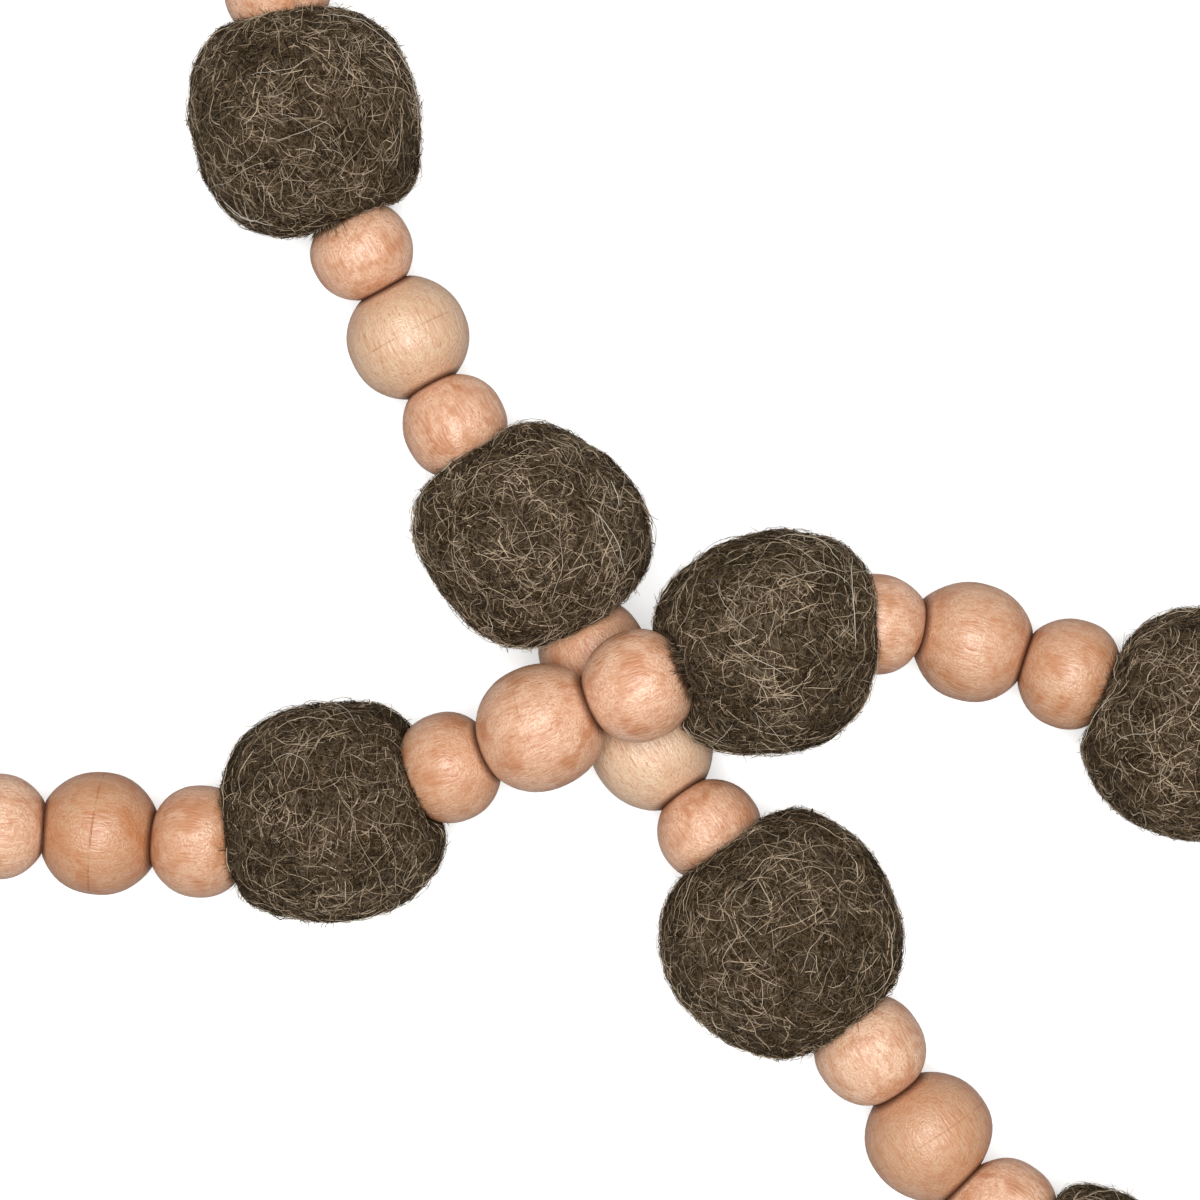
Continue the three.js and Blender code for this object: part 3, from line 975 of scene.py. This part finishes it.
def wood_group():
    """Turned wood: streaks along the grain, dark pores and slow shifts of colour."""
    inputs = {"Place": "NodeSocketVector"}
    outputs = ("Streaks", "Pores", "Clouds", "Height")
    group, tree, given, result = new_group("Turned wood", inputs, outputs)
    place = given["Place"]
    clouds = tree.noise(place, 0.32, 3.0, 0.4)
    wide = tree.noise(tree.stretch(place, (0.12, 0.9, 0.9)), 1.0, 3.0, 0.6)
    fine = tree.noise(tree.stretch(place, (0.5, 2.9, 2.9)), 1.0, 2.0, 0.3)
    dashes = tree.noise(tree.stretch(place, (0.7, 4.4, 4.4)), 1.0, 1.0, 0.4)
    specks = tree.noise(place, 3.4, 2.0)
    texture = tree.blend(tree.fade(clouds, 0.42, 0.62, 0.25, 0.9), specks, fine)
    streaks = tree.blend(0.35, texture, wide)
    tree.set(result["Streaks"], tree.fade(streaks, 0.4, 0.6))
    tree.set(result["Pores"], tree.fade(dashes, 0.54, 0.78))
    tree.set(result["Clouds"], clouds)
    tree.set(result["Height"], texture)
    return group


def place_in_mm(tree):
    """A piece's own coordinates, in millimetres."""
    place = tree.add("ShaderNodeTexCoord").outputs["Object"]
    return tree.stretch(place, (1 / MM, 1 / MM, 1 / MM))


def add_group(tree, group, values):
    """A shared effect in a material, with its own values."""
    return tree.add("ShaderNodeGroup", values, node_tree=group).outputs


def felt_material(felt, tangle):
    """Matted wool between the fibres that lie on it. It is mostly in the dark wool colour, which is partly
    painted shade between the fibres.
    """
    material, tree = new_material("wool_felt_mat")
    place = place_in_mm(tree)
    coarse = add_group(tree, tangle, {"Place": place, "Fineness": 0.6, "Width": 0.06})["Lines"]
    fine = add_group(tree, tangle, {"Place": place, "Fineness": 1.1, "Width": 0.08})["Lines"]
    clouds = tree.noise(place, 0.28, 3.0)
    # Painted shade: the core stays mostly in the dark wool colour, so that the gaps between the fibres read
    # as shade.
    wool = tree.mix(tree.fade(clouds, 0.35, 0.65, 0.0, 0.25), felt.dark, felt.middle)
    wool = tree.mix(tree.math("MULTIPLY", fine, 0.4), wool, felt.middle)
    wool = tree.mix(tree.math("MULTIPLY", coarse, 0.2), wool, felt.light)
    height = tree.math("ADD", tree.math("MULTIPLY", coarse, 0.6), tree.math("MULTIPLY", fine, 0.4))
    normal = tree.bump(height, 0.3 * MM)
    finish_material(tree, wool, roughness=1.0, specular=0.03, normal=normal)
    return material


def fibre_material(felt):
    """Single wool fibres, from dark to light, and pale hairs."""
    material, tree = new_material("wool_fibre")
    tone = tree.attribute("fibre_tone")
    along = tree.noise(place_in_mm(tree), 0.9, 2.0)
    shade = tree.math("ADD", tone, tree.math("MULTIPLY", tree.math("SUBTRACT", along, 0.5), 0.5))
    wool = tree.mix(tree.fade(shade, 0.0, 0.4), felt.dark, felt.middle)
    wool = tree.mix(tree.fade(shade, 0.35, 0.95), wool, felt.light)
    wool = tree.mix(tree.fade(shade, 1.1, 1.8), wool, felt.pale)
    finish_material(tree, wool, roughness=0.8, specular=0.12)
    return material


def bead_material(name, colour, wood, grain):
    """Satin turned wood in a bead's own colour."""
    material, tree = new_material(name)
    effect = add_group(tree, grain, {"Place": tree.attribute("grain_place", "Vector")})
    paleness = tree.attribute("paleness")
    body = tree.mix(paleness, colour, wood.paler)
    evenness = tree.fade(paleness, 0.0, 1.0, 1.0, 0.2)
    streak_share = tree.fade(paleness, 0.0, 1.0, 1.0, 0.65)
    body = tree.mix(tree.attribute("darkness"), body, wood.darker)
    clouded = tree.math("MULTIPLY", tree.fade(effect["Clouds"], 0.42, 0.7, 0.0, 0.6), evenness)
    body = tree.mix(clouded, body, wood.grain)
    streaked = tree.math("MULTIPLY", tree.fade(effect["Streaks"], 0.0, 1.0, 0.0, 0.4), streak_share)
    body = tree.mix(streaked, body, wood.grain)
    body = tree.mix(tree.math("MULTIPLY", effect["Pores"], 0.68), body, wood.grain)
    # End grain and painted shade: over the last tenth towards each hole the wood darkens to the end colour,
    # where the bead ends meet.
    end_grain_and_joint_shade = tree.fade(tree.attribute("hole_nearness"), 0.9, 1.0, 0.0, 0.9)
    body = tree.mix(end_grain_and_joint_shade, body, wood.end)
    off_line = tree.math("ABSOLUTE", tree.attribute("from_middle"))
    line = tree.math("MULTIPLY", tree.attribute("seamed"), tree.fade(off_line, 0.03, 0.13, 1.0, 0.0))
    worn = tree.math("MULTIPLY", line, tree.fade(effect["Clouds"], 0.42, 0.58, 0.2, 0.75))
    body = tree.mix(worn, body, wood.grain)
    roughness = tree.fade(effect["Streaks"], 0.0, 1.0, 0.34, 0.46)
    normal = tree.bump(tree.math("SUBTRACT", effect["Height"], worn), 0.19 * MM)
    finish_material(tree, body, roughness, specular=0.75, normal=normal)
    return material


def cord_material(cotton, tangle):
    """Twisted cotton with painted shade in the grooves between the plies, and loose fibres."""
    material, tree = new_material("cotton_string")
    lint = add_group(tree, tangle, {"Place": place_in_mm(tree), "Fineness": 3.0, "Width": 0.08})["Lines"]
    # Painted shade: the yarn darkens to the groove colour down in the grooves between the plies.
    yarn = tree.mix(tree.fade(tree.attribute("groove"), 0.4, 1.0), cotton.cotton, cotton.groove)
    yarn = tree.mix(tree.math("MULTIPLY", lint, 0.3), yarn, cotton.cotton)
    finish_material(tree, yarn, roughness=0.9, specular=0.15, normal=tree.bump(lint, 0.06 * MM))
    return material


def floor_material(stage):
    """A matt pale floor."""
    material, tree = new_material("pale_floor")
    seen = tree.add("ShaderNodeLightPath").outputs["Is Camera Ray"]
    pale = tree.mix(seen, stage.ground, stage.floor)
    glow = tree.mix(seen, (0, 0, 0), stage.floor)
    lit = {"emission_color": glow, "emission_strength": FLOOR_GLOW}
    finish_material(tree, pale, roughness=0.9, specular=0.1, **lit)
    return material


# Operators


class GARLAND_OT_felt_balls(bpy.types.Operator):
    """Build the felt balls and their fibres"""

    bl_idname = "garland.felt_balls"
    bl_label = "Build felt balls"

    def execute(self, context):
        felt = settings("felt")
        core = felt_material(felt, tangle_group())
        strands = fibre_material(felt)
        beads = strand_beads()
        for seed, name in enumerate(BALL_NODES):
            ball = Ball(name, beads, seed)
            number = name.split("_")[-1]
            mat = new_piece("felted_core_" + number, ball.points(ball.reaches), ball.faces, core)
            fit_piece(mat, name)
            points, faces, tones = fibre_mesh(ball, felt)
            fibres = new_piece("felted_fibres_" + number, points, faces, strands, {"fibre_tone": tones})
            fit_piece(fibres, name)
        return {"FINISHED"}


class GARLAND_OT_wooden_beads(bpy.types.Operator):
    """Turn the large and small wooden beads"""

    bl_idname = "garland.wooden_beads"
    bl_label = "Build wooden beads"

    def execute(self, context):
        wood = settings("wood")
        grain = wood_group()
        large = bead_material("satin_large_bead", wood.large, wood, grain)
        small = bead_material("satin_small_bead", wood.small, wood, grain)
        for seed, bead in enumerate(strand_beads()):
            is_large = bead.name in LARGE_NODES
            points, faces, values = bead_mesh(bead, seed)
            piece = new_piece("turned_" + bead.name, points, faces, large if is_large else small, values)
            fit_piece(piece, bead.name)
        return {"FINISHED"}


class GARLAND_OT_string(bpy.types.Operator):
    """Run the twisted string through every piece and knot its ends"""

    bl_idname = "garland.string"
    bl_label = "Build string"

    def execute(self, context):
        cotton = settings("string")
        beads = strand_beads()
        ends = [Ball(name, beads, 0) for name in (BALL_NODES[0], BALL_NODES[-1])]
        route = smooth_route(string_points(beads, *ends), CORD_STEP)
        points, faces, depths = twisted_cord(route, cotton)
        material = cord_material(cotton, tangle_group())
        cord = new_piece("twisted_string", points, faces, material, {"groove": depths})
        fit_piece(cord, STRING_NODE)
        return {"FINISHED"}


class GARLAND_OT_stage(bpy.types.Operator):
    """Set the floor, the soft light and the camera"""

    bl_idname = "garland.stage"
    bl_label = "Build stage"

    def execute(self, context):
        stage = settings("stage")
        self.add_floor(stage)
        self.add_light(context.scene, stage)
        self.add_camera(context.scene, stage)
        return {"FINISHED"}

    def add_floor(self, stage):
        """A flat floor under the garland."""
        half = stage.floor_width / 2
        corners = [(-half, -half, 0), (half, -half, 0), (half, half, 0), (-half, half, 0)]
        floor = new_piece("floor", corners, [(0, 1, 2, 3)], floor_material(stage))
        floor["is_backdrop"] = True

    def add_light(self, scene, stage):
        """A wide soft light overhead, and even light from all round."""
        lamp = bpy.data.lights.new("soft_light", "AREA")
        lamp.energy = stage.light_power
        lamp.size = stage.light_width
        light = bpy.data.objects.new("soft_light", lamp)
        light.location = (*VIEW_CENTRE, stage.light_height)
        scene.collection.objects.link(light)
        world = bpy.data.worlds.new("even_light")
        world.use_nodes = True
        tree = Tree(world.node_tree)
        background = tree.add("ShaderNodeBackground", {"Color": (1, 1, 1), "Strength": stage.fill})
        output = tree.add("ShaderNodeOutputWorld")
        tree.set(output.inputs["Surface"], background.outputs[0])
        scene.world = world
        scene.view_settings.view_transform = "Standard"

    def add_camera(self, scene, stage):
        """A camera that looks straight down."""
        lens = bpy.data.cameras.new("camera")
        lens.sensor_width = SENSOR_WIDTH
        lens.lens = SENSOR_WIDTH * (stage.camera_height - VIEW_LEVEL) / stage.view_width
        camera = bpy.data.objects.new("camera", lens)
        camera.location = (*VIEW_CENTRE, stage.camera_height)
        scene.collection.objects.link(camera)
        scene.camera = camera


class GARLAND_PT_sidebar(bpy.types.Panel):
    """The garland's pieces, with their sizes and colours"""

    bl_label = "Felt ball garland"
    bl_idname = "GARLAND_PT_sidebar"
    bl_space_type = "VIEW_3D"
    bl_region_type = "UI"
    bl_category = "Garland"

    def draw(self, context):
        for label, operator in zip(GROUPS, OPERATORS):
            section = self.layout.box()
            group = settings(label)
            for name in group.__annotations__:
                section.prop(group, name)
            section.operator(operator.bl_idname)


GROUPS = {
    "felt": GarlandFelt,
    "wood": GarlandWood,
    "string": GarlandString,
    "stage": GarlandStage,
}
OPERATORS = (
    GARLAND_OT_felt_balls,
    GARLAND_OT_wooden_beads,
    GARLAND_OT_string,
    GARLAND_OT_stage,
)
CLASSES = (*GROUPS.values(), *OPERATORS, GARLAND_PT_sidebar)


def register():
    """Adds the classes, and the settings to the scene."""
    for added in CLASSES:
        bpy.utils.register_class(added)
    for label, group in GROUPS.items():
        setattr(bpy.types.Scene, "garland_" + label, bpy.props.PointerProperty(type=group))


def unregister():
    """Takes the settings and the classes away again."""
    for label in GROUPS:
        delattr(bpy.types.Scene, "garland_" + label)
    for added in reversed(CLASSES):
        bpy.utils.unregister_class(added)


def main():
    """Builds every piece and the stage."""
    register()
    bpy.ops.garland.felt_balls()
    bpy.ops.garland.wooden_beads()
    bpy.ops.garland.string()
    bpy.ops.garland.stage()
    boxes = {"cad": CAD_BOX, "visual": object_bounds()}
    {label: [list(corner) for corner in box] for label, box in boxes.items()}


if __name__ == "__main__":
    main()
